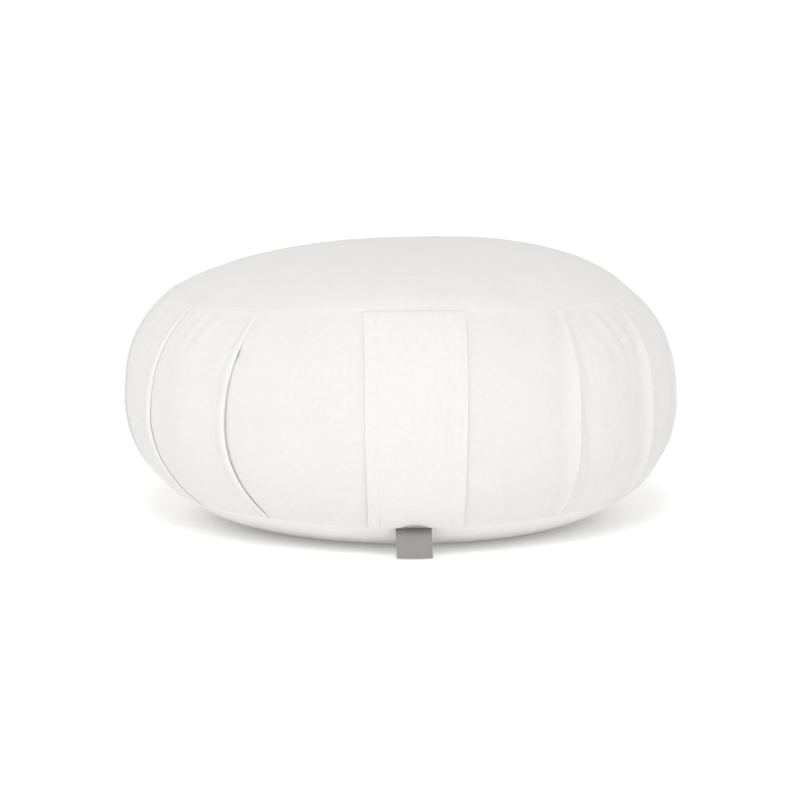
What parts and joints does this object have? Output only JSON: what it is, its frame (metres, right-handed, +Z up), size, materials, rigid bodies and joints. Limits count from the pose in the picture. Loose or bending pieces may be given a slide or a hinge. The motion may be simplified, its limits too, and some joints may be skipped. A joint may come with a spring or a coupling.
{
  "type": "zafu meditation cushion",
  "caption": "Round stuffed floor cushion with a crowned top panel, a knife-pleated side band, a flat carrying strap and a small tag.",
  "frame": {"origin": "on the surface that the cushion rests on, under the middle of the cushion's box", "axes": "+Z is up, through the crown; -Y is the front, where the carrying strap and the tag are; +X is to the right seen from the front"},
  "size_m": [0.3614, 0.3628, 0.18],
  "materials": {
    "natural_cotton": "matt, plain-woven undyed cotton, off-white",
    "grey_tape": "matt, closely woven grey tape, plain"
  },
  "bodies": {
    "root": {"side_band": "natural_cotton", "top_panel": "natural_cotton", "base_panel": "natural_cotton", "carry_strap": "natural_cotton", "side_tag": "grey_tape"}
  },
  "joints": []
}
